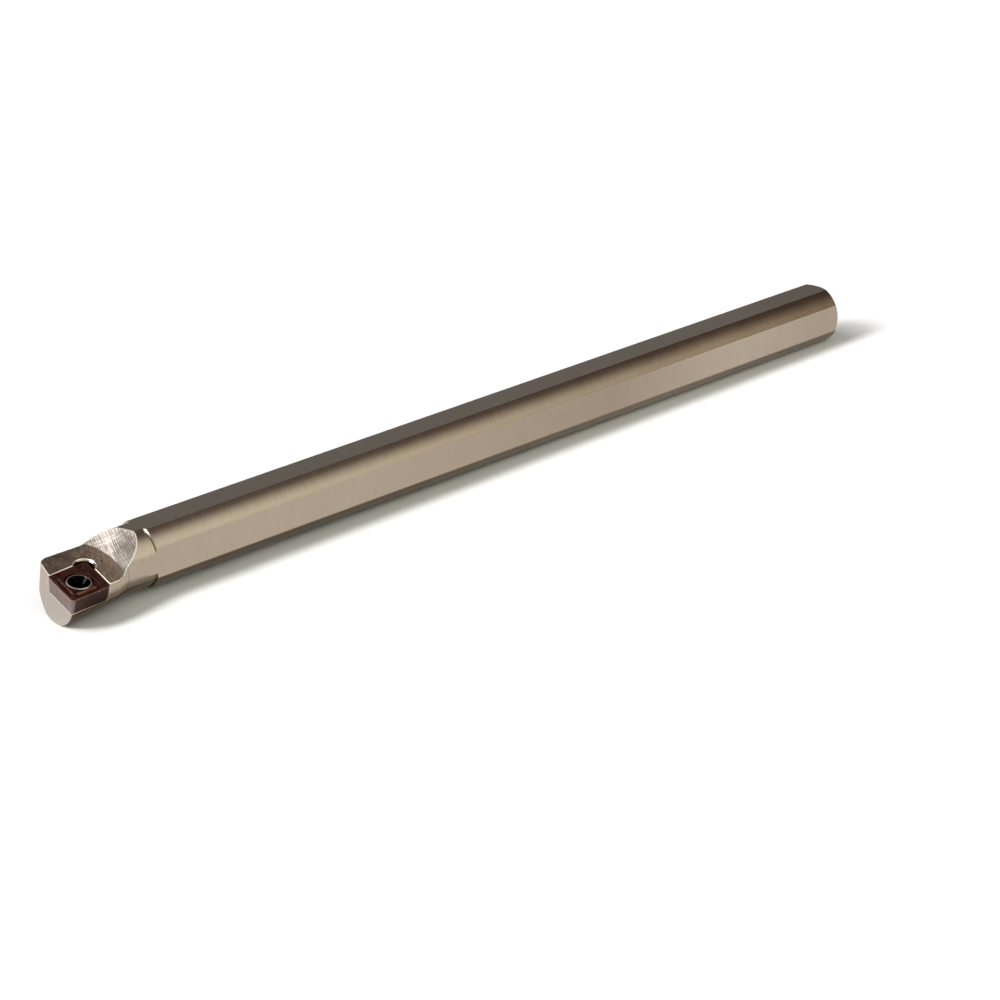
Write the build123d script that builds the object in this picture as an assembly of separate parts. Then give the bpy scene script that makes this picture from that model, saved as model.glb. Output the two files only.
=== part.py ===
"""Indexable boring bar for a screw-down 80 degree insert. Millimetres.

X runs along the bar: the tail face is at X = 0 and the cutting nose at X = -overall_length.
The shank's axis is Y = Z = 0, the cutting side is -Y and the rake face looks up, +Z.
"""
from build123d import *
from math import cos, radians, sin, tan
import os

# Shank and neck
shank_diameter = 9.525
overall_length = 152.4
tail_chamfer = 0.8
flat_depth = 0.5
flat_runout_radius = 6.0
flat_overrun = 2.4
side_flat_overrun = 0.85
neck_diameter = 9.0
neck_length = 4.9
shoulder_break = 0.1

# Head, lengths counted back from the nose
head_length = 8.2
ramp_length = 2.2
front_round = 10.3
front_offset = 0.9
rear_round = 9.64
rear_offset = 0.78
rear_lift = 0.35
edge_break = 0.08

# Insert
nose_reach = 6.35
nose_height = 0.14
inscribed_circle = 6.35
insert_thickness = 2.38
nose_radius = 0.4
nose_angle = 80.0
flank_angle = 7.0
side_relief = 4.0
rake_tilt = 12.5
insert_bore = 2.8
land_width = 0.2
groove_depth = 0.16
groove_slope = 25.0
plateau_inset = 1.0
plateau_radius = 1.0
plateau_slope = 32.0
tongue_width = 0.34
tongue_inset = 0.75

# Pocket
wall_clearance = 0.04
rim_chamfer = 0.07
corner_relief_diameter = 2.8
corner_relief_chamfer = 0.13
corner_relief_inset = 1.15
corner_relief_sink = 0.12
tool_headroom = 0.3

# Corner of the front face, measured in the rake plane
corner_start = 0.3
corner_width = 3.1
corner_angle = 14.0
corner_radius = 1.2
back_angle = 22.0

# Chip gullet: a shallow scoop from a large ball, placed from the nose
gullet_radius = 16.87
gullet_back = 1.09
gullet_side = 3.68
gullet_height = 15.15

# Clamp screw
screw_diameter = 2.5
screw_length = 4.8
screw_head_diameter = 3.8
screw_head_sink = 0.1
screw_head_angle = 60.0
screw_rim = 0.34
screw_edge = 0.26
screw_edge_angle = 30.0
thread_clearance = 0.05
socket_diameter = 2.38
socket_valley = 1.7
socket_depth = 1.2
socket_mouth = 3.04
socket_lead = 0.75

# Derived sizes
shank_radius = shank_diameter / 2
neck_radius = neck_diameter / 2
flat_height = shank_radius - flat_depth
nose_x = -overall_length
head_rear_x = nose_x + head_length
ramp_foot_x = head_rear_x + ramp_length
shoulder_x = ramp_foot_x + neck_length
edge_length = inscribed_circle / sin(radians(nose_angle))
half_angle = radians(nose_angle / 2)
overreach = nose_radius * (cos(half_angle + radians(side_relief)) / sin(half_angle) - 1)
flank_inset = insert_thickness * tan(radians(flank_angle))
front_relief = radians(90 - nose_angle - side_relief)
head_radius = screw_head_diameter / 2
cone_slope = tan(radians(screw_head_angle / 2))
stock = 3 * shank_diameter

# The rake plane passes through the sharp corner of the nose and rises towards +Y. The
# seat plane is that plane turned about the vertical, so that its x axis is the side cutting
# edge, which runs level: the platform stands a hair above the insert at the back wall.
nose_corner = Vector(
    nose_x - overreach,
    -nose_reach - overreach * cos(radians(rake_tilt)),
    nose_height - overreach * sin(radians(rake_tilt)),
)
rake_plane = Plane(
    origin=nose_corner,
    x_dir=(1, 0, 0),
    z_dir=(0, -sin(radians(rake_tilt)), cos(radians(rake_tilt))),
)
seat_plane = rake_plane.rotated((0, 0, side_relief))
gullet_centre = Vector(nose_x + gullet_back, -gullet_side, gullet_height)
insert_centre = Vector(edge_length * (1 + cos(radians(nose_angle))) / 2, inscribed_circle / 2)


def rhombus(inset=0.0, radius=0.0):
    """Outline of the insert with each side moved inward, in seat coordinates."""
    side = (inscribed_circle - 2 * inset) / sin(radians(nose_angle))
    lean = side * cos(radians(nose_angle)) / 2
    rise = side * sin(radians(nose_angle)) / 2
    outline = make_face(
        Polyline(
            (-side / 2 - lean, -rise),
            (side / 2 - lean, -rise),
            (side / 2 + lean, rise),
            (-side / 2 + lean, rise),
            close=True,
        )
    )
    if radius > 0:
        outline = fillet(outline.vertices(), radius)
    return Pos(insert_centre) * outline


def prismoid(lower, upper, low, high):
    """Ruled solid between two outlines at two heights."""
    return loft([Pos(0, 0, low) * lower, Pos(0, 0, high) * upper], ruled=True)


def turned(points):
    """Solid of revolution about the local z axis from (radius, height) points."""
    return revolve(Plane.XZ * make_face(Polyline(*points, close=True)), Axis.Z)


def turned_bar():
    """Shank with its tail chamfer and shoulder, and the slimmer neck."""
    profile = Polyline(
        (0, 0),
        (0, shank_radius - tail_chamfer),
        (-tail_chamfer, shank_radius),
        (shoulder_x + shoulder_break, shank_radius),
        (shoulder_x, shank_radius - shoulder_break),
        (shoulder_x, neck_radius),
        (ramp_foot_x, neck_radius),
        (ramp_foot_x, 0),
        close=True,
    )
    return revolve(make_face(profile), Axis.X)


def shank_flat(angle, overrun):
    """Material of one milled flat, its cutter leaving in an arc on the neck."""
    end = shoulder_x - overrun
    top = flat_height + flat_runout_radius
    profile = make_face(
        [
            CenterArc((end, top), flat_runout_radius, 180, 90),
            Line((end, flat_height), (1, flat_height)),
            Line((1, flat_height), (1, top)),
            Line((1, top), (end - flat_runout_radius, top)),
        ]
    )
    return Rot(angle, 0, 0) * extrude(Plane.XZ * profile, amount=shank_radius, both=True)


def head_round(x, diameter, offset, lift):
    """One round section of the off-centre head."""
    plane = Plane(origin=(x, -offset, lift), x_dir=(0, 1, 0), z_dir=(1, 0, 0))
    return plane * Circle(diameter / 2)


def head_blank():
    """Off-centre head: a ramp out of the neck, then a round that widens to the nose."""
    foot = head_round(ramp_foot_x, neck_diameter, 0, 0)
    rear = head_round(head_rear_x, rear_round, rear_offset, rear_lift)
    front = head_round(nose_x, front_round, front_offset, 0)
    return loft([foot, rear], ruled=True) + loft([rear, front], ruled=True)


def front_outline():
    """Front face and relieved back corner, cut square to the rake plane."""
    foot = flank_inset / cos(front_relief)
    turn = edge_length + corner_start
    reach = turn + corner_width
    turn_x = foot + turn * tan(front_relief)
    reach_x = turn_x + corner_width * tan(radians(corner_angle))
    far_x = reach_x + stock
    far_y = reach + stock * tan(radians(back_angle))
    plan = make_face(
        Polyline(
            (foot - stock * tan(front_relief), -stock),
            (turn_x, turn),
            (reach_x, reach),
            (far_x, far_y),
            (far_x, -stock),
            close=True,
        )
    )
    corner = plan.vertices().sort_by_distance((reach_x, reach))[0]
    return extrude(rake_plane * fillet(corner, corner_radius), amount=stock, both=True)


def chip_gullet():
    """Space over the rake platform: flat in front, a shallow scooped ramp behind."""
    above = rake_plane * Box(
        4 * stock, 4 * stock, stock, align=(Align.CENTER, Align.CENTER, Align.MIN)
    )
    return above & (Pos(gullet_centre) * Sphere(gullet_radius))


def on_plane(edge, plane, height=0.0):
    """Whether an edge lies in a plane, or at a height over it."""
    heights = [plane.to_local_coords(edge @ part).Z for part in (0.1, 0.5, 0.9)]
    return max(abs(found - height) for found in heights) < 0.002


def on_gullet(edge):
    """Whether an edge lies on the ball of the gullet."""
    reaches = [(edge @ part - gullet_centre).length for part in (0.1, 0.5, 0.9)]
    return max(abs(reach - gullet_radius) for reach in reaches) < 0.003


def broken(body, edges):
    """Body with the edges broken."""
    return body.chamfer(edge_break, None, edges)


def broken_head(body):
    """Body with the outer edges of the front face, the platform and the gullet broken.

    The short edge that the gullet shares with the far side of the ramp stays sharp: there the
    two surfaces meet almost in line.
    """
    front = [
        e
        for e in body.edges()
        if not on_plane(e, rake_plane)
        and not on_gullet(e)
        and e.geom_type not in (GeomType.LINE, GeomType.CIRCLE)
        and min((e @ 0).X, (e @ 1).X) < nose_x + corner_width
    ]
    body = broken(body, front)
    rim = [e for e in body.edges() if on_plane(e, rake_plane) and not on_gullet(e)]
    body = broken(body, rim)
    scoop = [
        e
        for e in body.edges()
        if on_gullet(e)
        and not on_plane(e, rake_plane)
        and e.length > 5 * edge_break
        and not ((e @ 0.5).X < ramp_foot_x and (e @ 0.5).Y > 0)
    ]
    return broken(body, scoop)


def pocket_outline(inset):
    """Pocket in the seat plane: two walls that meet at the far corner, open elsewhere."""
    far = rhombus(inset).vertices().sort_by_distance(Vector(stock, stock))[0].center()
    lean = Vector(cos(radians(nose_angle)), sin(radians(nose_angle))) * stock
    return make_face(
        Polyline(far, far - lean, far - lean - Vector(stock, 0), far - Vector(stock, 0), close=True)
    )


def insert_pocket():
    """Tapered pocket with a broken rim, a round relief in its corner and the screw hole."""
    taper = tan(radians(flank_angle))
    wall = prismoid(
        pocket_outline(flank_inset - wall_clearance),
        pocket_outline(-wall_clearance - tool_headroom * taper),
        -insert_thickness,
        tool_headroom,
    )
    rim = prismoid(
        pocket_outline(-wall_clearance),
        pocket_outline(-wall_clearance - rim_chamfer - tool_headroom),
        -rim_chamfer,
        tool_headroom,
    )
    towards = Vector(cos(half_angle), sin(half_angle))
    relief_radius = corner_relief_diameter / 2
    mouth_radius = relief_radius + corner_relief_chamfer + tool_headroom
    relief_floor = -insert_thickness - corner_relief_sink
    relief = turned(
        [
            (0, relief_floor),
            (relief_radius, relief_floor),
            (relief_radius, -corner_relief_chamfer),
            (mouth_radius, tool_headroom),
            (0, tool_headroom),
        ]
    )
    relief = Pos(insert_centre * 2 - towards * corner_relief_inset) * relief
    tapped = Pos(insert_centre) * Cylinder(
        screw_diameter / 2 + thread_clearance,
        stock,
        align=(Align.CENTER, Align.CENTER, Align.MAX),
    )
    return seat_plane * (wall + rim + relief + tapped)


def broken_seat(body):
    """Body with the open edges of the seat broken."""
    open_edges = [
        e
        for e in body.edges()
        if on_plane(e, seat_plane, -insert_thickness)
        and e.geom_type != GeomType.CIRCLE
        and seat_plane.to_local_coords(e @ 0.5).length < insert_centre.length
    ]
    return broken(body, open_edges)


def make_bar():
    """The one-piece steel bar."""
    head = head_blank() & front_outline()
    bar = turned_bar() + head
    for angle, overrun in ((0, flat_overrun), (90, side_flat_overrun), (180, flat_overrun)):
        bar -= shank_flat(angle, overrun)
    return broken_seat(broken_head(bar - chip_gullet()) - insert_pocket())


def chip_groove():
    """Groove behind the cutting land, round a plateau with a tongue to each nose."""
    run = groove_depth / tan(radians(groove_slope))
    rise = groove_depth / tan(radians(plateau_slope))
    tongue = 2 * (insert_centre.length - tongue_inset)
    edge = nose_radius / 2
    trough = prismoid(
        rhombus(land_width + run, edge), rhombus(land_width, edge), -groove_depth, 0
    )
    plateau = prismoid(
        rhombus(plateau_inset - rise, plateau_radius + rise),
        rhombus(plateau_inset, plateau_radius),
        -groove_depth,
        0,
    )
    ridge = prismoid(
        Rectangle(tongue, tongue_width + 2 * rise),
        Rectangle(tongue - 2 * rise, tongue_width),
        -groove_depth,
        0,
    )
    return trough - plateau - Pos(insert_centre) * Rot(0, 0, nose_angle / 2) * ridge


def make_insert():
    """Positive 80 degree insert with a countersunk bore."""
    body = prismoid(
        rhombus(flank_inset, nose_radius - flank_inset),
        rhombus(0, nose_radius),
        -insert_thickness,
        0,
    )
    mouth = head_radius + thread_clearance
    rim_low = -screw_head_sink - screw_rim
    bore = turned(
        [
            (0, 1),
            (mouth, 1),
            (mouth, rim_low + thread_clearance / cone_slope),
            (insert_bore / 2, rim_low - (head_radius - insert_bore / 2) / cone_slope),
            (insert_bore / 2, -stock),
            (0, -stock),
        ]
    )
    return seat_plane * (body - chip_groove() - Pos(insert_centre) * bore)


def six_lobe():
    """Outline of the six-lobe socket."""
    groove = (socket_diameter - socket_valley) * 0.62
    outline = Circle(socket_diameter / 2)
    for angle in range(0, 360, 60):
        outline -= Rot(0, 0, angle) * Pos(socket_valley / 2 + groove, 0) * Circle(groove)
    return outline


def make_clamp_screw():
    """Countersunk screw with a sloped rim and a six-lobe socket, its thread left plain."""
    root = screw_diameter / 2
    top = -screw_head_sink
    edge_low = top - screw_edge * tan(radians(screw_edge_angle))
    rim_low = top - screw_rim
    tip = top - screw_length
    body = turned(
        [
            (0, top),
            (head_radius - screw_edge, top),
            (head_radius, edge_low),
            (head_radius, rim_low),
            (root, rim_low - (head_radius - root) / cone_slope),
            (root, tip + root / 4),
            (root * 3 / 4, tip),
            (0, tip),
        ]
    )
    mouth = turned(
        [
            (0, top),
            (socket_mouth / 2, top),
            (socket_valley / 2, top - socket_lead),
            (0, top - socket_lead),
        ]
    )
    socket = Pos(0, 0, top) * extrude(six_lobe(), amount=-socket_depth)
    return seat_plane * Pos(insert_centre) * (body - mouth - socket)


if __name__ == "__main__":
    os.makedirs("parts", exist_ok=True)
    export_step(make_bar(), "parts/bar.step")
    export_step(make_insert(), "parts/insert.step")
    export_step(make_clamp_screw(), "parts/clamp_screw.step")
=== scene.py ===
"""Looks of the indexable boring bar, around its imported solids, in metres and in their frame.

+X runs from the cutting head to the tail, the cutting side is -Y and the rake face looks up.
"""
import logging
import math
from dataclasses import dataclass, field
from enum import Enum
from typing import Any, Sequence, Union

import bpy
from mathutils import Matrix, Vector

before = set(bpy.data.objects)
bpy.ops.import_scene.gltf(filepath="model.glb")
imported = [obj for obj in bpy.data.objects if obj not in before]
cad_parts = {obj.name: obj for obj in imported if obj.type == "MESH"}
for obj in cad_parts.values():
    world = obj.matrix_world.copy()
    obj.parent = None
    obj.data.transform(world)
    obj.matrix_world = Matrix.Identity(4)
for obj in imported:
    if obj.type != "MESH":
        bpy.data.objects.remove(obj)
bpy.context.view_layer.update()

log = logging.getLogger("boring_bar")

MM = 0.001
MICRON = 1e-6

Colour = tuple[float, float, float]
Place = tuple[float, float, float]
Span = tuple[float, float]
Tone = tuple[Colour, Colour]
Number = Union[float, int, "Signal"]

X_AXIS: Place = (1.0, 0.0, 0.0)
Y_AXIS: Place = (0.0, 1.0, 0.0)
Z_AXIS: Place = (0.0, 0.0, 1.0)
EVEN: Place = (1.0, 1.0, 1.0)
WHITE: Colour = (1.0, 1.0, 1.0)
MEAN = 0.5


def mm(*lengths: float) -> tuple[float, ...]:
    """Lengths in millimetres, turned into metres."""
    return tuple(length * MM for length in lengths)


class Signal:
    """One output socket of a shader tree, with arithmetic that adds Math nodes."""

    def __init__(self, tree: "ShaderTree", socket: bpy.types.NodeSocket) -> None:
        """Wraps a socket.

        Args:
            tree: The shader tree that new nodes go into.
            socket: The output socket.
        """
        self.tree = tree
        self.socket = socket

    def _math(self, operation: str, *values: Number) -> "Signal":
        """Adds one Math node.

        Args:
            operation: Blender's name of the operation.
            values: The node's inputs in order.

        Returns:
            The node's value.
        """
        return self.tree.node("ShaderNodeMath", {"operation": operation}, dict(enumerate(values)))

    def __add__(self, other: Number) -> "Signal":
        """This value plus another."""
        return self._math("ADD", self, other)

    def __radd__(self, other: Number) -> "Signal":
        """Another value plus this one."""
        return self._math("ADD", other, self)

    def __sub__(self, other: Number) -> "Signal":
        """This value less another."""
        return self._math("SUBTRACT", self, other)

    def __rsub__(self, other: Number) -> "Signal":
        """Another value less this one."""
        return self._math("SUBTRACT", other, self)

    def __mul__(self, other: Number) -> "Signal":
        """This value times another."""
        return self._math("MULTIPLY", self, other)

    def __truediv__(self, other: Number) -> "Signal":
        """This value over another."""
        return self._math("DIVIDE", self, other)

    def __abs__(self) -> "Signal":
        """This value without its sign."""
        return self._math("ABSOLUTE", self)

    def sine(self) -> "Signal":
        """Sine of this value in radians."""
        return self._math("SINE", self)

    def root(self) -> "Signal":
        """Square root of this value."""
        return self._math("SQRT", self)

    def greatest(self, other: Number) -> "Signal":
        """The larger of this value and another."""
        return self._math("MAXIMUM", self, other)

    def step(self, low: float, high: float) -> "Signal":
        """Smooth rise from 0 at low to 1 at high, or a fall where low is above high.

        Args:
            low: Value at which the result is 0.
            high: Value at which the result is 1.

        Returns:
            The step, from 0 to 1.
        """
        ends = (low, high, 0.0, 1.0) if low < high else (high, low, 1.0, 0.0)
        values = dict(zip(("From Min", "From Max", "To Min", "To Max"), ends))
        settings = {"interpolation_type": "SMOOTHSTEP"}
        return self.tree.node("ShaderNodeMapRange", settings, {"Value": self, **values}, "Result")


class ShaderTree:
    """A node tree that is built from Python expressions."""

    def __init__(self, tree: bpy.types.NodeTree) -> None:
        """Empties a node tree and takes it over.

        Args:
            tree: The material's or world's tree.
        """
        self.tree = tree
        tree.nodes.clear()

    def node(
        self,
        kind: str,
        settings: dict[str, Any] | None = None,
        values: dict[str | int, Any] | None = None,
        output: str | int = 0,
    ) -> Signal:
        """Adds a node: its settings first, then the values or links of its inputs.

        Args:
            kind: Blender's node type.
            settings: Attributes of the node. A list under "stops" fills its colour ramp.
            values: Socket name or index to a number, a colour or a Signal.
            output: Name or index of the socket to return.

        Returns:
            That output.
        """
        made = self.tree.nodes.new(kind)
        for name, value in (settings or {}).items():
            if name == "stops":
                self._fill_ramp(made.color_ramp, value)
            else:
                setattr(made, name, value)
        for name, value in (values or {}).items():
            if isinstance(value, Signal):
                self.tree.links.new(value.socket, made.inputs[name])
            else:
                made.inputs[name].default_value = value
        return Signal(self, made.outputs[output])

    @staticmethod
    def _fill_ramp(ramp: bpy.types.ColorRamp, stops: Sequence[tuple[float, Colour]]) -> None:
        """Sets a colour ramp's stops.

        Args:
            ramp: The ramp.
            stops: Places and colours in order.
        """
        while len(ramp.elements) < len(stops):
            ramp.elements.new(0.5)
        for element, (place, colour) in zip(ramp.elements, stops):
            element.position = place
            element.color = (*colour, 1.0)

    def mix(self, low: Colour | Signal, high: Colour | Signal, factor: Number) -> Signal:
        """Mixes two colours.

        Args:
            low: Colour at factor 0.
            high: Colour at factor 1.
            factor: The share of the second colour.

        Returns:
            The mixed colour.
        """
        first, second = (c if isinstance(c, Signal) else (*c, 1.0) for c in (low, high))
        settings = {"data_type": "RGBA", "clamp_factor": True}
        # The node's colours are its inputs 6 and 7 and its output 2.
        return self.node("ShaderNodeMix", settings, {0: factor, 6: first, 7: second}, 2)

    def place(self) -> Signal:
        """Object coordinates, in metres."""
        return self.node("ShaderNodeTexCoord", output="Object")

    def shifted(self, vector: Signal, origin: Sequence[float]) -> Signal:
        """A vector measured from another origin."""
        return self.node("ShaderNodeVectorMath", {"operation": "SUBTRACT"}, {0: vector, 1: origin})

    def along(self, vector: Signal, direction: Sequence[float] | Signal) -> Signal:
        """Length of a vector along a direction, or its product with another vector."""
        ends = {0: vector, 1: direction}
        return self.node("ShaderNodeVectorMath", {"operation": "DOT_PRODUCT"}, ends, "Value")

    def length(self, vector: Signal) -> Signal:
        """Length of a vector."""
        return self.node("ShaderNodeVectorMath", {"operation": "LENGTH"}, {0: vector}, "Value")

    def stretched(self, vector: Signal, scale: Sequence[float], turn: float = 0.0) -> Signal:
        """A vector turned about Z and then scaled axis by axis.

        Args:
            vector: The vector.
            scale: Factor along each axis.
            turn: The turn, in degrees.

        Returns:
            The new vector.
        """
        turned = vector
        if turn:
            values = {"Vector": vector, "Rotation": (0.0, 0.0, math.radians(turn))}
            turned = self.node("ShaderNodeVectorRotate", {"rotation_type": "EULER_XYZ"}, values)
        return self.node("ShaderNodeVectorMath", {"operation": "MULTIPLY"}, {0: turned, 1: scale})

    def noise(self, vector: Signal, scale: float, detail: float, roughness: float) -> Signal:
        """Noise with a mean near 0.5.

        Args:
            vector: Coordinates.
            scale: Cells per unit.
            detail: Octaves.
            roughness: Weight of the finer octaves.

        Returns:
            The noise value.
        """
        values = {"Vector": vector, "Scale": scale, "Detail": detail, "Roughness": roughness}
        return self.node("ShaderNodeTexNoise", {"noise_dimensions": "3D"}, values, "Fac")

    def bump(self, height: Signal, under: Signal | None = None) -> Signal:
        """A Bump node.

        Args:
            height: Height, in micrometres.
            under: Normal that this one is laid over.

        Returns:
            The normal.
        """
        values: dict[str | int, Any] = {"Height": height, "Distance": MICRON, "Strength": 1.0}
        if under is not None:
            values["Normal"] = under
        return self.node("ShaderNodeBump", {}, values)

    def metal(
        self,
        colour: Signal,
        roughness: Signal,
        normal: Signal,
        tint: Colour = WHITE,
    ) -> None:
        """Ends the tree with a metal surface.

        Args:
            colour: Base colour.
            roughness: Roughness.
            normal: Normal.
            tint: Tint of the shine at grazing angles.
        """
        values = {
            "Base Color": colour,
            "Metallic": 1.0,
            "Roughness": roughness,
            "Specular Tint": (*tint, 1.0),
            "Normal": normal,
        }
        self.end(self.node("ShaderNodeBsdfPrincipled", {}, values))

    def end(self, shader: Signal, kind: str = "ShaderNodeOutputMaterial") -> None:
        """Ends the tree.

        Args:
            shader: The surface or background shader.
            kind: Blender's type of the output node.
        """
        made = self.tree.nodes.new(kind)
        self.tree.links.new(shader.socket, made.inputs["Surface"])


def new_material(name: str) -> tuple[bpy.types.Material, ShaderTree]:
    """Makes an empty material.

    Args:
        name: The material's name.

    Returns:
        The material and its tree.
    """
    material = bpy.data.materials.new(name)
    material.use_nodes = True
    return material, ShaderTree(material.node_tree)


@dataclass(frozen=True)
class Grain:
    """Noise whose cells may be stretched and turned about Z."""

    scale: float
    detail: float = 2.0
    roughness: float = 0.5
    stretch: Place = EVEN
    turn: float = 0.0

    def laid(self, tree: ShaderTree, place: Signal) -> Signal:
        """Object coordinates in the grain's own turn and stretch."""
        return tree.stretched(place, self.stretch, self.turn)

    def value(self, tree: ShaderTree, place: Signal) -> Signal:
        """The noise at a place, 0 to 1."""
        return tree.noise(self.laid(tree, place), self.scale, self.detail, self.roughness)


@dataclass(frozen=True)
class HeadLayout:
    """Where the machined faces lie and where painted shade and painted highlights go, in metres.

    A span gives where a mask is 0 and where it is 1.
    """

    length: float = 152.4 * MM
    nose: Place = mm(-152.4476, -6.3965, 0.1297)
    rake_normal: Place = (0.0, -0.21644, 0.97630)
    platform_skin: Span = mm(0.05, 0.02)
    platform_edge: Span = mm(0.04, 0.0)
    platform_run: Place = (0.92, -0.39, 0.0)
    platform_back: Span = mm(-136.2, -131.2)

    gullet_centre: Place = mm(-151.31, -3.68, 15.15)
    gullet_radius: float = 16.87 * MM
    gullet_skin: Span = mm(0.045, 0.02)
    gullet_edge: Span = mm(-0.04, 0.0)
    gullet_run: Place = (0.79, -0.62, 0.0)
    gullet_near: Span = mm(-112.6, -109.8)
    gullet_far: Span = mm(-111.4, -114.2)

    rim_top: Span = mm(-0.004, -0.010)
    rim_bottom: Span = mm(-0.10, -0.07)
    rim_end: Span = mm(0.0, -0.1)
    scoop_inside: Span = mm(0.004, 0.010)
    scoop_outside: Span = mm(0.125, 0.09)
    scoop_end: Span = mm(-0.1, 0.0)
    ledge_bottom: Span = mm(-0.10, -0.08)
    ledge_top: Span = mm(0.03, 0.01)
    pocket_back: Span = mm(-145.9, -146.1)
    pocket_end: Span = mm(0.1, -0.1)

    face_foot: Place = mm(-152.154, -6.3965, 0.1297)
    face_normal: Place = (-0.99452, 0.10204, 0.02262)
    corner_foot: Place = mm(-151.3, 3.1, 0.0)
    corner_normal: Place = (-0.97030, 0.23618, 0.05236)
    face_skin: Span = mm(-0.09, -0.03)
    front_layer: Span = mm(-0.45, -0.25)

    ramp_foot: float = 142.0 * MM
    ramp_top: Span = mm(-144.5, -144.0)
    ramp_bottom: Span = mm(-142.0, -142.04)
    crease_width: Span = mm(0.11, 0.05)
    cutting_side: Span = mm(-2.5, -3.8)
    cutting_half: Span = mm(0.5, -0.5)

    # Painted shade under the bar, more at the head and the tail, and near the tail's end.
    underside: Span = mm(-2.0, -2.45)
    under_bar: Span = mm(-5.0, -125.0)
    under_head: Span = mm(-137.5, -143.0)
    under_tail: Span = mm(-40.0, -8.0)
    under_ends: float = 0.5
    tail_end: Span = mm(-22.0, -4.0)
    flat_side: Span = mm(-4.15, -4.25)
    flat_height: Span = mm(2.3, 2.1)
    # Painted shade along the side flat: place along the bar and share.
    flat_shade_stops: tuple[tuple[float, float], ...] = (
        (0.13, 0.07), (0.25, 0.07), (0.38, 0.11), (0.51, 0.19),
        (0.67, 0.30), (0.76, 0.14), (0.84, 0.02), (0.92, 0.10),
    )

    seat_normal: Place = (0.01510, -0.21591, 0.97630)
    seat_depth: float = 2.38 * MM
    side_normal: Place = (0.0681, -0.9740, -0.2164)
    insert_across: float = 6.35 * MM
    flank_top: Span = mm(-0.19, -0.23)
    # Painted highlight on the land along the front edge and, less, along the side edge.
    land_width: Span = mm(-0.27, -0.22)
    land_front: float = 0.45
    land_side: float = 0.12
    plateau_inset: float = 1.0 * MM
    # Painted highlight on the plateau's rim, stronger near the front.
    plateau_rim: Span = mm(0.13, 0.04)
    plateau_highlight: float = 0.40
    plateau_front: Span = mm(-1.3, -0.9)
    plateau_front_highlight: float = 0.35

    screw_centre: Place = mm(-148.8893, -3.0404, 0.8169)
    screw_ring: Span = mm(1.50, 1.58)

    def over(self, tree: ShaderTree, place: Signal, point: Place, normal: Place) -> Signal:
        """How far a place stands over a plane.

        Args:
            tree: The tree.
            place: Object coordinates.
            point: A point of the plane.
            normal: The plane's normal.

        Returns:
            The distance in metres.
        """
        return tree.along(tree.shifted(place, point), normal)

    def raised(self, tree: ShaderTree, place: Signal) -> Signal:
        """How far a place stands over the rake plane, in metres."""
        return self.over(tree, place, self.nose, self.rake_normal)

    def outside(self, tree: ShaderTree, place: Signal) -> Signal:
        """How far a place lies outside the gullet's ball, in metres."""
        return tree.length(tree.shifted(place, self.gullet_centre)) - self.gullet_radius

    def platform(self, tree: ShaderTree, place: Signal) -> Signal:
        """Mask of the flat rake platform."""
        level = abs(self.raised(tree, place)).step(*self.platform_skin)
        return level * self.outside(tree, place).step(*self.platform_edge)

    def platform_rise(self, tree: ShaderTree, place: Signal) -> Signal:
        """Rise from 0 at the front of the platform to 1 at the gullet."""
        return tree.along(place, self.platform_run).step(*self.platform_back)

    def gullet(self, tree: ShaderTree, place: Signal) -> Signal:
        """Mask of the scooped chip gullet."""
        skin = abs(self.outside(tree, place)).step(*self.gullet_skin)
        return skin * self.raised(tree, place).step(*self.gullet_edge)

    def gullet_end(self, tree: ShaderTree, place: Signal, span: Span) -> Signal:
        """Rise from 0 in the gullet's middle to 1 at its near end or its far end."""
        return tree.along(place, self.gullet_run).step(*span)

    def edges(self, tree: ShaderTree, place: Signal) -> Signal:
        """Mask of the broken edges round the platform, the gullet and the pocket's mouth, where a
        painted highlight goes.

        Args:
            tree: The tree.
            place: Object coordinates.

        Returns:
            The mask.
        """
        raised = self.raised(tree, place)
        outside = self.outside(tree, place)
        rim = raised.step(*self.rim_top) * raised.step(*self.rim_bottom) * outside.step(*self.rim_end)
        scoop = outside.step(*self.scoop_inside) * outside.step(*self.scoop_outside)
        scoop = scoop * raised.step(*self.scoop_end)
        above = self.over(tree, place, self.nose, self.seat_normal) + self.seat_depth
        ledge = above.step(*self.ledge_bottom) * above.step(*self.ledge_top)
        pocket = tree.along(place, X_AXIS).step(*self.pocket_back)
        pocket = pocket * tree.along(place, Y_AXIS).step(*self.pocket_end)
        return rim.greatest(scoop).greatest(ledge * pocket)

    def face(self, tree: ShaderTree, place: Signal) -> Signal:
        """Mask of the ground front face and its relieved corner.

        Args:
            tree: The tree.
            place: Object coordinates.

        Returns:
            The mask.
        """
        front = self.over(tree, place, self.face_foot, self.face_normal)
        corner = self.over(tree, place, self.corner_foot, self.corner_normal)
        return front.greatest(corner).step(*self.face_skin)

    def front(self, tree: ShaderTree, place: Signal) -> Signal:
        """Mask of the layer next to the front face."""
        return self.over(tree, place, self.face_foot, self.face_normal).step(*self.front_layer)

    def ramp(self, tree: ShaderTree, place: Signal) -> Signal:
        """Mask of the head's ramp on the cutting side.

        Args:
            tree: The tree.
            place: Object coordinates.

        Returns:
            The mask.
        """
        run = tree.along(place, X_AXIS)
        side = tree.along(place, Y_AXIS).step(*self.cutting_side)
        return side * run.step(*self.ramp_top) * run.step(*self.ramp_bottom)

    def crease(self, tree: ShaderTree, place: Signal) -> Signal:
        """Mask of the fine line where the head's ramp leaves the neck, which gets painted shade."""
        away = abs(tree.along(place, X_AXIS) + self.ramp_foot)
        return away.step(*self.crease_width) * tree.along(place, Y_AXIS).step(*self.cutting_side)

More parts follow.
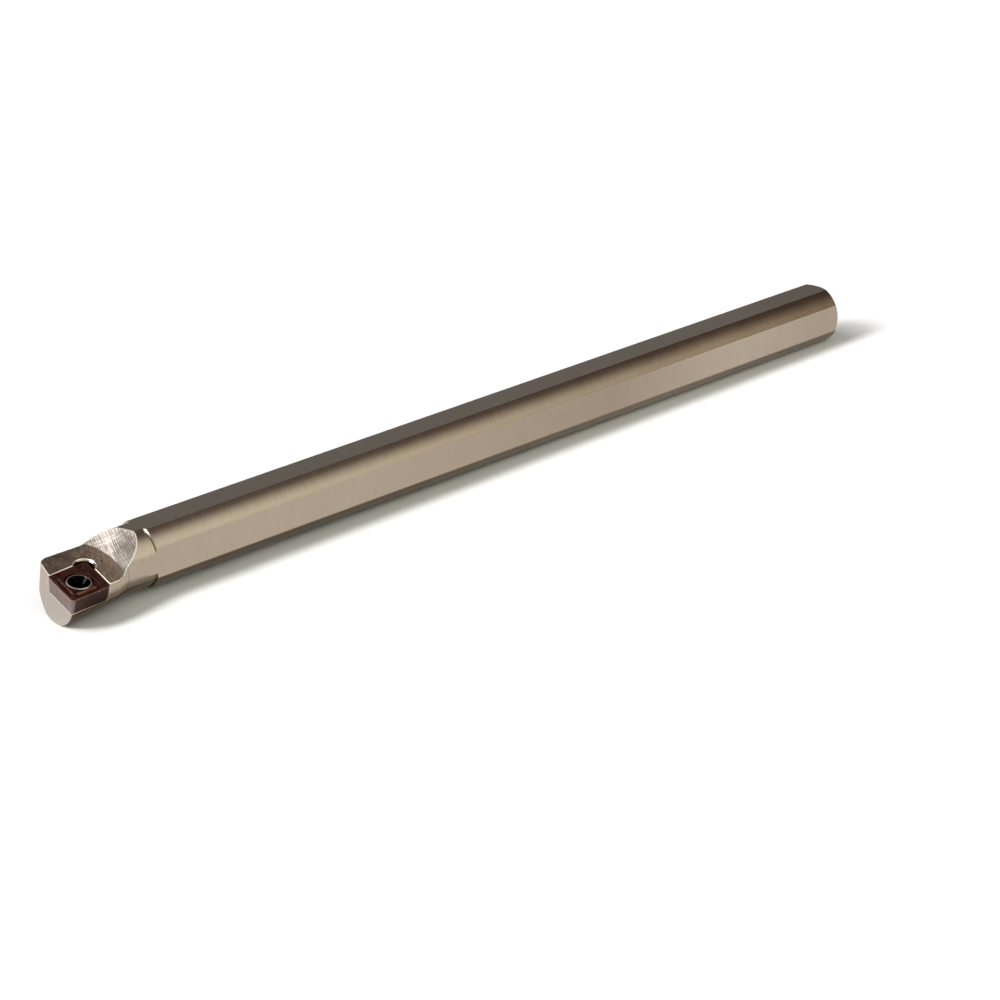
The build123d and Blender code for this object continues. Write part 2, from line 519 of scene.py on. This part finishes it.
    def under(self, tree: ShaderTree, place: Signal) -> Signal:
        """Share of painted shade on the underside, more at its ends and none at the head's far side.

        Args:
            tree: The tree.
            place: Object coordinates.

        Returns:
            The share, from 0 up.
        """
        low = tree.along(place, Z_AXIS).step(*self.underside)
        run = tree.along(place, X_AXIS)
        near = tree.along(place, Y_AXIS).step(*self.cutting_half)
        head = run.step(*self.under_head)
        ends = head * self.under_ends + run.step(*self.under_tail) * self.under_ends
        return low * (run.step(*self.under_bar) + ends) * (1 - head * (1 - near))

    def tail(self, tree: ShaderTree, place: Signal) -> Signal:
        """Mask of the last stretch before the tail's end, which gets painted shade."""
        return tree.along(place, X_AXIS).step(*self.tail_end)

    def flat_painted_shade(self, tree: ShaderTree, place: Signal) -> Signal:
        """Share of painted shade on the side flat, uneven along the bar.

        Args:
            tree: The tree.
            place: Object coordinates.

        Returns:
            The share, from 0 to 1.
        """
        flat = tree.along(place, Y_AXIS).step(*self.flat_side)
        flat = flat * abs(tree.along(place, Z_AXIS)).step(*self.flat_height)
        run = tree.along(place, X_AXIS) / self.length + 1
        stops = [(at, (share, share, share)) for at, share in self.flat_shade_stops]
        return flat * tree.node("ShaderNodeValToRGB", {"stops": stops}, {"Fac": run})

    def land(self, tree: ShaderTree, place: Signal) -> Signal:
        """Share of painted highlight on the insert's top: its front land and the rim of its plateau.

        Args:
            tree: The tree.
            place: Object coordinates.

        Returns:
            The share, from 0 to 1.
        """
        front = self.over(tree, place, self.nose, self.face_normal)
        side = self.over(tree, place, self.nose, self.side_normal)
        outer = front.greatest(side)
        outer = outer.greatest(-self.insert_across - front).greatest(-self.insert_across - side)
        rim = abs(outer + self.plateau_inset).step(*self.plateau_rim)
        rim = rim * (self.plateau_highlight + front.step(*self.plateau_front) * self.plateau_front_highlight)
        ground = front.step(*self.land_width) * self.land_front
        return ground + side.step(*self.land_width) * self.land_side + rim

    def flank(self, tree: ShaderTree, place: Signal) -> Signal:
        """Mask of the insert's ground sides, below its grooved top."""
        return self.over(tree, place, self.nose, self.seat_normal).step(*self.flank_top)

    def ring(self, tree: ShaderTree, place: Signal) -> Signal:
        """Mask of the outer ring of the clamp screw's head.

        Args:
            tree: The tree.
            place: Object coordinates.

        Returns:
            The mask.
        """
        spoke = tree.shifted(place, self.screw_centre)
        height = tree.along(spoke, self.seat_normal)
        radius = (tree.along(spoke, spoke) - height * height).root()
        return radius.step(*self.screw_ring)


@dataclass(frozen=True)
class Finish:
    """Look of one machined zone, the height of its marks in micrometres."""

    dark: Colour
    light: Colour
    roughness: float
    marks: float


class Zone(Enum):
    """Zones of the bar."""

    SHANK = Finish((0.385, 0.317, 0.253), (0.430, 0.358, 0.290), 0.22, 1.0)
    PLATFORM = Finish((0.13, 0.096, 0.076), (0.95, 0.72, 0.54), 0.40, 6.0)
    GULLET = Finish((0.17, 0.143, 0.121), (0.84, 0.77, 0.69), 0.62, 14.0)
    FACE = Finish((0.425, 0.374, 0.333), (0.48, 0.430, 0.388), 0.30, 2.0)
    # Painted highlight: near-white broken edges stand in for the shine of rounded edges.
    EDGE = Finish((0.86, 0.80, 0.71), (0.97, 0.92, 0.84), 0.42, 0.5)


@dataclass(frozen=True)
class SatinSteel:
    """Warm satin steel of the bar, with the marks of its milling and grinding, painted shade under the
    bar, along the side flat, near the tail, in the crease and in the gullet, and painted highlights on
    its broken edges.
    """

    layout: HeadLayout = HeadLayout()
    # Painted shade: this dark brown is mixed in under the bar, along the side flat, near the tail and in
    # the ramp's crease.
    painted_shade: Colour = (0.10, 0.036, 0.0)
    under_shade: float = 0.62
    tail_shade: float = 0.18
    crease_shade: float = 0.45
    roll: Place = (-0.36, 0.0, 0.0)

    cloud: Grain = Grain(380.0, 4.0, 0.55, (1.0, 0.4, 0.4))
    cloud_span: Span = (0.35, 0.7)
    cloud_share: float = 0.3
    cloud_roughness: float = 0.10
    pattern_span: Span = (0.25, 0.75)
    pattern_share: float = 0.7

    turned: Grain = Grain(6000.0, stretch=(1.0, 0.08, 0.08))
    ground: Grain = Grain(7000.0, stretch=(1.0, 1.0, 0.05))

    strokes: Grain = Grain(8200.0, 3.0, 0.65, (1.0, 0.14, 0.14), 11.0)
    stroke_share: float = 1.4
    patches: Grain = Grain(1500.0)
    patch_share: float = 0.4
    platform_level: float = 0.24
    platform_gain: float = 0.40

    milled: Grain = Grain(4600.0, 3.0, 0.6, (1.0, 0.06, 0.06), 17.2)
    milled_share: float = 0.8
    crossing: Grain = Grain(4200.0, 3.0, 0.6, (1.0, 0.08, 0.08), -51.9)
    crossing_share: float = 0.7
    mark_pitch: float = 0.27 * MM
    mark_share: float = 0.20
    mark_wander: Grain = Grain(420.0, 3.0)
    wander_share: float = 2.4
    mark_gaps: Grain = Grain(700.0)
    gap_span: Span = (0.35, 0.65)
    gullet_level: float = 0.61
    # Painted shade: share taken off towards the gullet's near and far ends.
    gullet_near_shade: float = 0.32
    gullet_far_shade: float = 0.17

    def build(self) -> bpy.types.Material:
        """Makes the material.

        Returns:
            The material.
        """
        material, tree = new_material("satin_steel")
        layout = self.layout
        place = tree.place()
        cloud = self.cloud.value(tree, place)
        turned = self.turned.value(tree, place)
        gullet = layout.gullet(tree, place)
        platform = layout.platform(tree, place)
        patterns = {
            Zone.PLATFORM: (platform, self._platform_grain(tree, place)),
            Zone.GULLET: (gullet, self._milled_marks(tree, place)),
            Zone.FACE: (layout.face(tree, place), self.ground.value(tree, place)),
            Zone.EDGE: (layout.edges(tree, place), turned),
        }
        shank = Zone.SHANK.value
        # Mixes the painted shade into the shank's colour.
        colour = tree.mix(self._shade(tree, shank, turned, cloud), self.painted_shade, self._painted_shade_share(tree, place))
        height = (turned - MEAN) * shank.marks
        roughness: Number = shank.roughness
        for zone, (mask, pattern) in patterns.items():
            look = zone.value
            colour = tree.mix(colour, self._shade(tree, look, pattern, cloud), mask)
            roughness = roughness + mask * (look.roughness - shank.roughness)
            height = height * (1 - mask) + (pattern - MEAN) * look.marks * mask
        roughness = roughness + (cloud - MEAN) * self.cloud_roughness
        rolled = self._rolled(tree, layout.ramp(tree, place) * (1 - gullet) * (1 - platform))
        tree.metal(colour, roughness, tree.bump(height, rolled))
        return material

    def _shade(self, tree: ShaderTree, look: Finish, pattern: Signal, cloud: Signal) -> Signal:
        """Colour of one zone.

        Args:
            tree: The tree.
            look: The zone's finish.
            pattern: The zone's marks, 0 to 1.
            cloud: Broad unevenness, 0 to 1.

        Returns:
            The colour.
        """
        share = pattern.step(*self.pattern_span) * self.pattern_share
        share = share + cloud.step(*self.cloud_span) * self.cloud_share
        return tree.mix(look.dark, look.light, share)

    def _painted_shade_share(self, tree: ShaderTree, place: Signal) -> Signal:
        """Share of painted shade on the shank, the neck and the head.

        Args:
            tree: The tree.
            place: Object coordinates.

        Returns:
            The share, from 0 up.
        """
        painted_shade = self.layout.under(tree, place) * self.under_shade + self.layout.flat_painted_shade(tree, place)
        painted_shade = painted_shade.greatest(self.layout.tail(tree, place) * self.tail_shade)
        return painted_shade.greatest(self.layout.crease(tree, place) * self.crease_shade)

    def _rolled(self, tree: ShaderTree, share: Signal) -> Signal:
        """Normal of a surface that the polish has rolled over towards the nose.

        Args:
            tree: The tree.
            share: How far it is rolled, from 0 to 1.

        Returns:
            The normal.
        """
        own = tree.node("ShaderNodeNewGeometry", output="Normal")
        lean = tree.node("ShaderNodeVectorMath", {"operation": "SCALE"}, {0: self.roll, "Scale": share})
        both = tree.node("ShaderNodeVectorMath", {"operation": "ADD"}, {0: own, 1: lean})
        return tree.node("ShaderNodeVectorMath", {"operation": "NORMALIZE"}, {0: both})

    def _platform_grain(self, tree: ShaderTree, place: Signal) -> Signal:
        """Short strokes across the platform, darker towards the front, 0 to 1.

        Args:
            tree: The tree.
            place: Object coordinates.

        Returns:
            The height of the strokes.
        """
        strokes = (self.strokes.value(tree, place) - MEAN) * self.stroke_share
        patches = (self.patches.value(tree, place) - MEAN) * self.patch_share
        rise = self.layout.platform_rise(tree, place) * self.platform_gain
        return strokes + patches + self.platform_level + rise

    def _milled_marks(self, tree: ShaderTree, place: Signal) -> Signal:
        """Crossing marks that the cutter left in the gullet, with painted shade towards its near and far
        ends, 0 to 1.

        Args:
            tree: The tree.
            place: Object coordinates.

        Returns:
            The height of the marks.
        """
        turns = tree.along(self.milled.laid(tree, place), (math.tau / self.mark_pitch, 0.0, 0.0))
        wander = (self.mark_wander.value(tree, place) - MEAN) * self.wander_share
        gaps = self.mark_gaps.value(tree, place).step(*self.gap_span)
        wave = (turns + wander).sine() * gaps * self.mark_share
        lines = (self.milled.value(tree, place) - MEAN) * self.milled_share
        cross = (self.crossing.value(tree, place) - MEAN) * self.crossing_share
        # Painted shade: darker towards the gullet's near and far ends.
        near = self.layout.gullet_end(tree, place, self.layout.gullet_near) * self.gullet_near_shade
        far = self.layout.gullet_end(tree, place, self.layout.gullet_far) * self.gullet_far_shade
        return wave + lines + cross + (self.gullet_level - near - far)


@dataclass(frozen=True)
class CoatedCarbide:
    """Red-brown coating of the insert, with painted highlights on its land and plateau rim, painted
    shade on its flanks and a lighter, greyer painted reflection on its front flank.
    """

    layout: HeadLayout = HeadLayout()
    top: Finish = Finish((0.055, 0.016, 0.010), (0.235, 0.082, 0.060), 0.25, 1.4)
    # The front flank's colour is lighter and greyer than the coating: painted reflection; its roughness
    # and ground lines are its own.
    side: Finish = Finish((0.175, 0.113, 0.106), (0.245, 0.188, 0.180), 0.34, 1.6)
    # Painted highlight on the insert's front land and the rim of its plateau.
    painted_highlight: Tone = ((0.42, 0.17, 0.13), (0.80, 0.36, 0.27))
    # Painted shade on the flanks other than the front one.
    flank_shade: Tone = ((0.038, 0.015, 0.012), (0.060, 0.026, 0.022))
    speck: Grain = Grain(4200.0, 3.0, 0.6)
    speck_span: Span = (0.35, 0.75)
    speck_roughness: float = 0.12
    cloud: Grain = Grain(800.0, 3.0)
    cloud_span: Span = (0.35, 0.7)
    ground: Grain = Grain(7000.0, stretch=(1.0, 1.0, 0.06))

    def build(self) -> bpy.types.Material:
        """Makes the material.

        Returns:
            The material.
        """
        material, tree = new_material("coated_carbide")
        place = tree.place()
        below = self.layout.flank(tree, place)
        flank = below * self.layout.front(tree, place)
        speck = self.speck.value(tree, place)
        lines = self.ground.value(tree, place)
        cloud = self.cloud.value(tree, place).step(*self.cloud_span)
        share = (cloud + speck.step(*self.speck_span)) / 2
        colour = tree.mix(self.top.dark, self.top.light, share)
        # Painted highlight on the front land and the plateau's rim.
        colour = tree.mix(colour, tree.mix(*self.painted_highlight, share), self.layout.land(tree, place))
        # Painted shade on the flanks; the front flank then gets its lighter, greyer painted reflection.
        colour = tree.mix(colour, tree.mix(*self.flank_shade, share), below)
        colour = tree.mix(colour, tree.mix(self.side.dark, self.side.light, share), flank)
        height = (speck - MEAN) * self.top.marks * (1 - flank) + (lines - MEAN) * self.side.marks * flank
        roughness = self.top.roughness + flank * (self.side.roughness - self.top.roughness)
        roughness = roughness + (speck - MEAN) * self.speck_roughness
        tree.metal(colour, roughness, tree.bump(height))
        return material


@dataclass(frozen=True)
class OiledSteel:
    """Dark oiled steel of the clamp screw, made near-black in its socket as painted shade, with a
    painted highlight on the rim of its head.
    """

    layout: HeadLayout = HeadLayout()
    # Dark oxide, made near-black in the socket inside the ring as painted shade.
    look: Finish = Finish((0.001, 0.001, 0.001), (0.004, 0.004, 0.004), 0.24, 1.0)
    # Painted highlight on the ring of the screw's head.
    painted_highlight: Tone = ((0.75, 0.68, 0.64), (1.0, 0.94, 0.88))
    graze: Colour = (0.07, 0.07, 0.07)
    speck: Grain = Grain(4500.0, 3.0, 0.6)
    speck_span: Span = (0.35, 0.75)
    speck_roughness: float = 0.16

    def build(self) -> bpy.types.Material:
        """Makes the material.

        Returns:
            The material.
        """
        material, tree = new_material("oiled_steel")
        place = tree.place()
        speck = self.speck.value(tree, place)
        share = speck.step(*self.speck_span)
        colour = tree.mix(self.look.dark, self.look.light, share)
        # Painted highlight on the ring of the head.
        colour = tree.mix(colour, tree.mix(*self.painted_highlight, share), self.layout.ring(tree, place))
        roughness = self.look.roughness + (speck - MEAN) * self.speck_roughness
        normal = tree.bump((speck - MEAN) * self.look.marks)
        tree.metal(colour, roughness, normal, self.graze)
        return material


@dataclass(frozen=True)
class PaleTable:
    """Matte white table top that keeps the shadow."""

    colour: Colour = (0.85, 0.85, 0.85)
    faint: Colour = (0.87, 0.865, 0.86)
    grain: Grain = Grain(60.0, 3.0)

    def build(self) -> bpy.types.Material:
        """Makes the material.

        Returns:
            The material.
        """
        material, tree = new_material("pale_table")
        colour = tree.mix(self.colour, self.faint, self.grain.value(tree, tree.place()))
        tree.end(tree.node("ShaderNodeBsdfDiffuse", {}, {"Color": colour}))
        return material


@dataclass(frozen=True)
class Lamp:
    """A distant lamp, which lights either the metal or the table."""

    name: str
    towards: Place
    power: float
    for_metal: bool = False


@dataclass
class Studio:
    """Table, lamps, surroundings and camera."""

    table_half: float = 3.0
    table_squares: int = 8
    tail_rest: tuple[float, float] = mm(-0.3, -4.2625)
    head_rest: tuple[float, float] = mm(-152.1, -5.083)

    camera_place: Place = mm(-353.56, -310.32, 162.82)
    camera_yaw: float = math.radians(42.31)
    camera_pitch: float = math.radians(22.607)
    camera_roll: float = math.radians(-1.457)
    focal_share: float = 3.043
    sensor: float = 36.0
    sight: Span = (0.01, 20.0)

    lamps: tuple[Lamp, ...] = (
        Lamp("main", (-1.0, 0.272, 1.0), 2.57, for_metal=True),
        Lamp("far", (-1.4, 0.272, 1.0), 2.20),
        Lamp("middle", (-0.95, 0.272, 1.0), 1.12),
        Lamp("over", (-0.5, 0.272, 1.0), 0.63),
    )
    lamp_spread: float = math.radians(18)

    dim: float = 0.25
    horizon_edge: Span = (0.12, 0.06)
    wall: float = 1.10
    wall_near: Colour = (1.04, 1.08, 0.97)
    wall_far: Colour = (1.0, 0.62, 0.25)
    wall_side: Span = (0.0, 0.75)
    wall_end: Span = (0.735, 0.63)
    wall_fade: Span = (0.50, 0.70)
    wall_fade_share: float = 0.3
    wall_reach: Span = (-0.3, 0.4)
    wall_reach_share: float = 0.45
    wall_foot: Span = (0.02, 0.16)
    shade_tone: Colour = (1.0, 0.68, 0.48)
    shade_towards: Place = (0.68, 0.05, 0.73)
    shade_edge: Span = (0.75, 0.98)
    shade_end: Span = (0.62, 0.67)
    shade_end_share: float = 0.5
    shade_depth: float = 0.65

    def build(self) -> None:
        """Builds everything that isn't part of the object."""
        self._table()
        self._surroundings()
        self._lamps()
        self._camera()

    def _table(self) -> None:
        """Lays the table under the head and the tail's lower flat."""
        run = self.tail_rest[0] - self.head_rest[0]
        slope = math.atan2(self.tail_rest[1] - self.head_rest[1], run)
        bpy.ops.object.select_all(action="DESELECT")
        bpy.ops.mesh.primitive_grid_add(
            x_subdivisions=self.table_squares,
            y_subdivisions=self.table_squares,
            size=2 * self.table_half,
        )
        table = bpy.context.active_object
        table.name = "table_top"
        table.rotation_euler = (0.0, -slope, 0.0)
        table.location = (self.tail_rest[0], 0.0, self.tail_rest[1])
        table.data.materials.append(PaleTable().build())
        log.info("table: slope %.3f degrees", math.degrees(slope))

    def _surroundings(self) -> None:
        """Dim studio, dark overhead on the tail's side, with a warm wall on the cutting side.

        The camera sees it white, and mirrored rays see a white horizon.
        """
        world = bpy.data.worlds.new("studio")
        bpy.context.scene.world = world
        world.use_nodes = True
        tree = ShaderTree(world.node_tree)
        towards = tree.node("ShaderNodeTexCoord", output="Generated")
        side = tree.along(towards, X_AXIS)
        up = tree.along(towards, Z_AXIS)
        wall = tree.along(towards, (0.0, -1.0, 0.0)).step(*self.wall_side)
        near = side.step(*self.wall_end) * (1 - side.step(*self.wall_fade) * self.wall_fade_share)
        reach = side.step(*self.wall_reach) * self.wall_reach_share + (1 - self.wall_reach_share)
        shade = tree.along(towards, self.shade_towards).step(*self.shade_edge)
        shade = shade * (side.step(*self.shade_end) * self.shade_end_share + (1 - self.shade_end_share))
        seen = tree.node("ShaderNodeLightPath", output="Is Camera Ray")
        mirrored = tree.node("ShaderNodeLightPath", output="Is Glossy Ray")
        passed = tree.node("ShaderNodeLightPath", output="Is Transmission Ray")
        horizon = up.step(*self.horizon_edge) * (mirrored + passed)
        shine = wall * (near * reach * up.step(*self.wall_foot)) * self.wall
        level = (self.dim - shade * self.dim * self.shade_depth + shine).greatest(horizon)
        warmth = tree.mix(self.wall_far, self.wall_near, near)
        colour = tree.mix(tree.mix(WHITE, self.shade_tone, shade), warmth, wall)
        values = {"Color": tree.mix(colour, WHITE, seen), "Strength": level * (1 - seen) + seen}
        tree.end(tree.node("ShaderNodeBackground", {}, values), "ShaderNodeOutputWorld")

    def _lamps(self) -> None:
        """Soft lamps in one plane over the bar: the main one for the metal, the rest for the table."""
        for lamp in self.lamps:
            data = bpy.data.lights.new(lamp.name, "SUN")
            data.angle = self.lamp_spread
            data.energy = lamp.power
            hung = bpy.data.objects.new(lamp.name, data)
            bpy.context.scene.collection.objects.link(hung)
            hung.rotation_euler = Vector(lamp.towards).to_track_quat("Z", "Y").to_euler()
            hung.visible_glossy = lamp.for_metal
            hung.visible_diffuse = not lamp.for_metal
        log.info("lamps: %d", len(self.lamps))

    def _camera(self) -> None:
        """Places the camera as the photograph's."""
        data = bpy.data.cameras.new("camera")
        data.sensor_width = self.sensor
        data.lens = self.sensor * self.focal_share
        data.clip_start, data.clip_end = self.sight
        camera = bpy.data.objects.new("camera", data)
        bpy.context.scene.collection.objects.link(camera)
        sine, cosine = math.sin(self.camera_yaw), math.cos(self.camera_yaw)
        flat = math.cos(self.camera_pitch)
        ahead = Vector((sine * flat, cosine * flat, -math.sin(self.camera_pitch)))
        level = Vector((cosine, -sine, 0.0))
        above = level.cross(ahead)
        right = math.cos(self.camera_roll) * level + math.sin(self.camera_roll) * above
        up = math.cos(self.camera_roll) * above - math.sin(self.camera_roll) * level
        turn = Matrix((right, up, -ahead)).transposed().to_4x4()
        camera.matrix_world = Matrix.Translation(self.camera_place) @ turn
        bpy.context.scene.camera = camera


@dataclass
class BoringBar:
    """The three pieces of the tool and their finishes."""

    finishes: dict[str, Any] = field(
        default_factory=lambda: {
            "bar": SatinSteel(),
            "insert": CoatedCarbide(),
            "clamp_screw": OiledSteel(),
        }
    )

    def dress(self) -> None:
        """Gives each solid its finish."""
        for name, finish in self.finishes.items():
            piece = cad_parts[name]
            piece.data.materials.clear()
            piece.data.materials.append(finish.build())
            log.info("%s: %d faces", name, len(piece.data.polygons))


def main() -> None:
    """Builds the scene."""
    logging.basicConfig(level=logging.INFO, format="%(name)s: %(message)s")
    bpy.context.scene.view_settings.view_transform = "Standard"
    Studio().build()
    BoringBar().dress()


if __name__ == "__main__":
    main()
